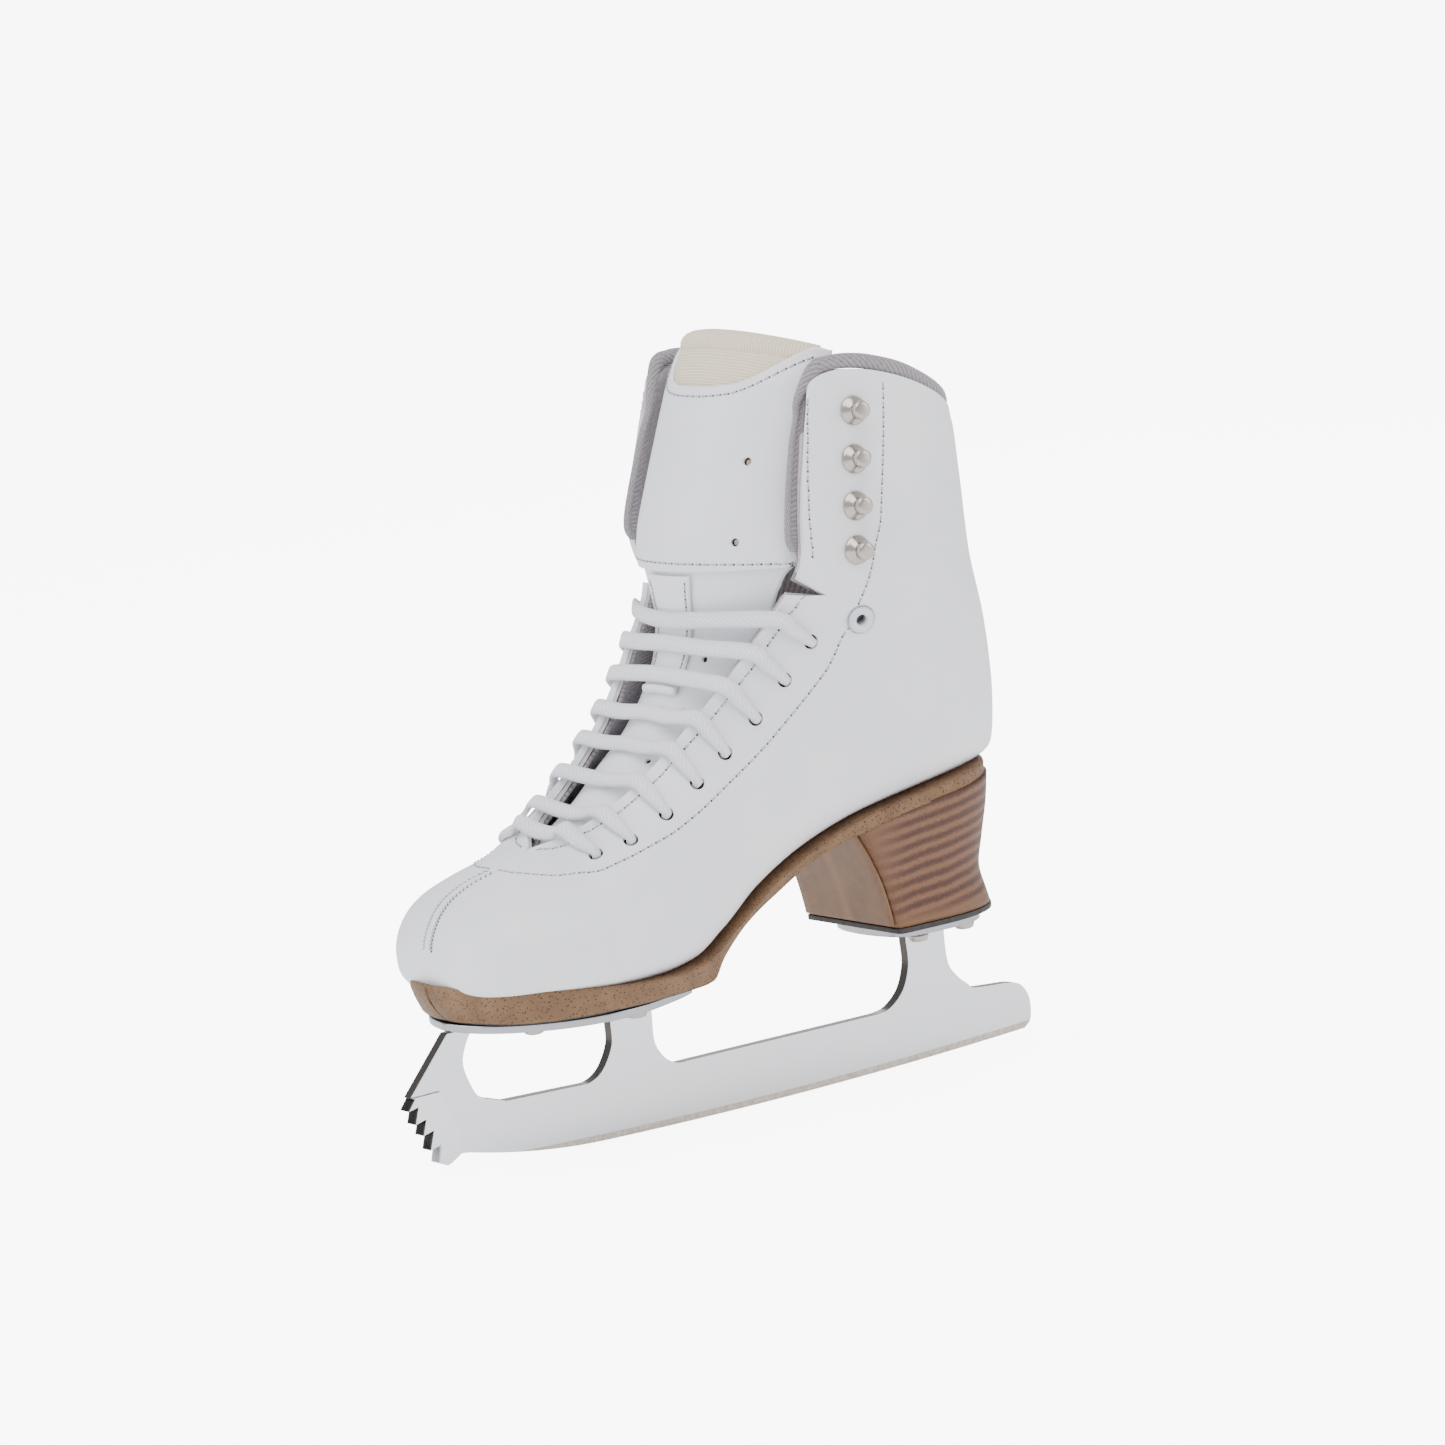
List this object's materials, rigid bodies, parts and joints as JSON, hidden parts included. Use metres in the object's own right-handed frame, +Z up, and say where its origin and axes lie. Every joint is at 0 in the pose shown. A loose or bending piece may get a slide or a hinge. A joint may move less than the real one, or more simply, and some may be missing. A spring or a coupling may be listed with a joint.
{
  "type": "figure skate",
  "caption": "Laced white leather figure skate boot with hooks, padded tongue, stacked heel and tan outsole on a chromed steel blade with a toe pick.",
  "frame": {"origin": "on the ice line, under the lowest point of the blade's rocker, midway between the tip of the toe pick and the tail of the blade, in the plane of the blade", "axes": "+Z up from the ice to the collar; -Y towards the toe, +Y towards the heel; +X towards the wearer's left"},
  "size_m": [0.1156, 0.243, 0.2499],
  "materials": {
    "white_leather": "smooth coated leather, low sheen",
    "grey_twill_lining": "brushed twill",
    "stiffener_board": "pressed board",
    "padding_foam": "soft open foam",
    "cream_cloth": "finely ribbed cloth",
    "nickel": "polished nickel plate",
    "white_enamel": "gloss enamel",
    "lace_cotton": "woven tape",
    "lace_tip_plastic": "clear gloss",
    "spring_steel": "blued strip",
    "sole_leather": "waxed tan leather with a speckle",
    "heel_stack": "waxed leather layers, dark bands",
    "black_rubber": "matt",
    "chromed_steel": "mirror chrome, ground band along the edge"
  },
  "bodies": {
    "boot": {"quarter_left": "white_leather", "quarter_right": "white_leather", "tongue_lower_leather": "white_leather", "lace_keeper": "white_leather", "lining_left": "grey_twill_lining", "lining_right": "grey_twill_lining", "collar_binding": "grey_twill_lining", "facing_stay_left": "stiffener_board", "facing_stay_right": "stiffener_board", "toe_puff": "stiffener_board", "heel_counter": "stiffener_board", "insole_board": "stiffener_board", "ankle_pad_left": "padding_foam", "ankle_pad_right": "padding_foam", "tongue_lower_foam": "padding_foam", "tongue_lower_lining": "cream_cloth", "footbed": "cream_cloth", "hook_left_1": "nickel", "hook_left_2": "nickel", "hook_left_3": "nickel", "hook_left_4": "nickel", "hook_right_1": "nickel", "hook_right_2": "nickel", "hook_right_3": "nickel", "hook_right_4": "nickel", "sole_screw_1": "nickel", "sole_screw_2": "nickel", "sole_screw_3": "nickel", "sole_screw_4": "nickel", "heel_screw_1": "nickel", "heel_screw_2": "nickel", "heel_screw_3": "nickel", "heel_screw_4": "nickel", "eyelet_left": "white_enamel", "eyelet_right": "white_enamel", "lace": "lace_cotton", "lace_tip_1": "lace_tip_plastic", "lace_tip_2": "lace_tip_plastic", "shank": "spring_steel", "outsole": "sole_leather", "heel_breast_cover": "sole_leather", "heel_block": "heel_stack", "heel_lift": "black_rubber", "blade": "chromed_steel", "sole_plate": "chromed_steel", "heel_plate": "chromed_steel"},
    "tongue_top": {"tongue_panel": "white_leather", "tongue_upper_foam": "padding_foam", "tongue_upper_lining": "cream_cloth", "tongue_roll": "cream_cloth"}
  },
  "joints": [
    {"name": "tongue_tilt", "type": "hinge", "parent": "boot", "child": "tongue_top", "pos_m": [0, -0.0045, 0.1767], "axis": [1, 0, 0], "range_deg": [0, 35]}
  ]
}
